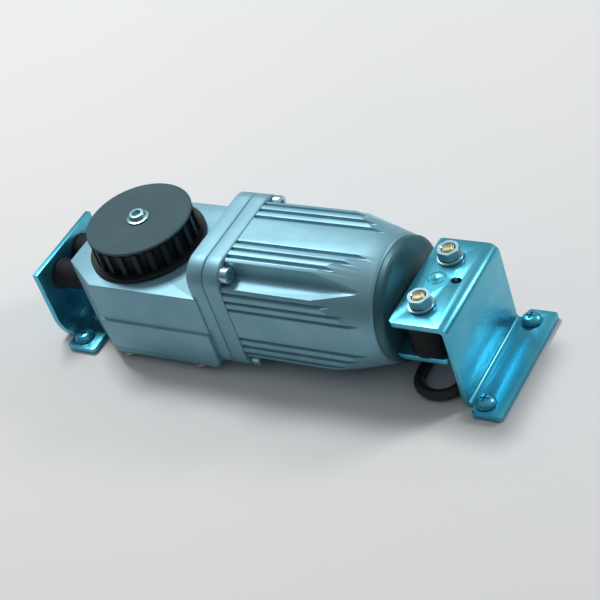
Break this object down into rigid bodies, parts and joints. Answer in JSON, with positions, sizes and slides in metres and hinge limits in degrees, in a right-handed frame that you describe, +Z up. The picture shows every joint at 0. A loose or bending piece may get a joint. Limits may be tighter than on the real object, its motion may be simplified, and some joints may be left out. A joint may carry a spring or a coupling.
{
  "type": "gearmotor",
  "caption": "Brushless gearmotor with spur and worm stages, toothed belt pulley and bent mounting brackets on rubber buffers, for a sliding-door drive.",
  "frame": {"origin": "on the plane of the bracket feet, in the motor axis plane, half way between the outer ends of the front bracket and of the tail foot", "axes": "+X along the motor axis from the gearbox end to the motor tail, +Z up out of the mounting plane along the pulley axis, +Y to the cable side"},
  "size_m": [0.2606, 0.0913, 0.0698],
  "materials": {
    "cast": "satin shot-blasted casting and extrusion",
    "end_cap": "dark satin",
    "zinc": "bright zinc plating",
    "steel": "ground",
    "rubber": "matt moulded",
    "pulley_black": "moulded",
    "disc_grey": "fine matt",
    "laminations": "stacked sheet",
    "winding": "enamelled copper wire",
    "bronze": "cut teeth",
    "magnet": "nickel grey",
    "circuit_board": "solder mask",
    "gasket_fibre": "pressed fibre",
    "cable_sheath": "soft sheath",
    "connector_shell": "moulded"
  },
  "bodies": {
    "housing": {"gearbox_housing": "cast", "gearbox_cover": "cast", "gearbox_gasket": "gasket_fibre", "cover_screw_1": "steel", "cover_screw_2": "steel", "cover_screw_3": "steel", "cover_screw_4": "steel", "worm_bearing_flange": "steel", "worm_bearing_end": "steel", "output_bearing_upper": "steel", "output_bearing_lower": "steel", "output_shaft_seal": "rubber", "motor_front_bell": "cast", "motor_housing": "cast", "rear_end_cap": "end_cap", "stator_core": "laminations", "stator_coil_1": "winding", "stator_coil_2": "winding", "stator_coil_3": "winding", "stator_coil_4": "winding", "stator_coil_5": "winding", "stator_coil_6": "winding", "hall_sensor_board": "circuit_board", "front_motor_bearing": "steel", "rear_motor_bearing": "steel", "flange_bolt_1": "zinc", "flange_bolt_2": "zinc", "flange_bolt_3": "zinc", "flange_bolt_4": "zinc", "tail_bracket": "zinc", "tail_angle": "zinc", "front_bracket": "zinc", "tail_buffer_1": "rubber", "tail_washer_1": "zinc", "tail_nut_1": "zinc", "front_buffer_1": "rubber", "angle_screw_1": "steel", "tail_foot_screw_1": "zinc", "front_foot_screw_1": "zinc", "tail_buffer_2": "rubber", "tail_washer_2": "zinc", "tail_nut_2": "zinc", "front_buffer_2": "rubber", "angle_screw_2": "steel", "tail_foot_screw_2": "zinc", "front_foot_screw_2": "zinc", "cable_grommet": "rubber", "motor_cable": "cable_sheath", "cable_connector": "connector_shell"},
    "rotor": {"rotor_shaft": "steel", "rotor_core": "laminations", "magnet_ring": "magnet", "motor_pinion": "steel"},
    "worm_train": {"worm_shaft": "steel", "spur_gear": "steel"},
    "output": {"output_shaft": "steel", "worm_wheel": "bronze", "drive_pulley": "pulley_black", "pulley_cover_disc": "disc_grey", "pulley_screw": "steel"}
  },
  "joints": [
    {"name": "rotor_spin", "type": "hinge", "parent": "housing", "child": "rotor", "pos_m": [0.03, 0, 0.035], "axis": [1, 0, 0], "continuous": true},
    {"name": "worm_spin", "type": "hinge", "parent": "housing", "child": "worm_train", "pos_m": [-0.06875, -0.0175, 0.03079], "axis": [1, 0, 0], "continuous": true},
    {"name": "output_spin", "type": "hinge", "parent": "housing", "child": "output", "pos_m": [-0.06875, 0, 0.05], "axis": [0, 0, 1], "continuous": true}
  ],
  "couplings": [
    {"joint": "worm_spin", "follows": "rotor_spin", "ratio": -0.5},
    {"joint": "output_spin", "follows": "rotor_spin", "ratio": 0.0625}
  ]
}
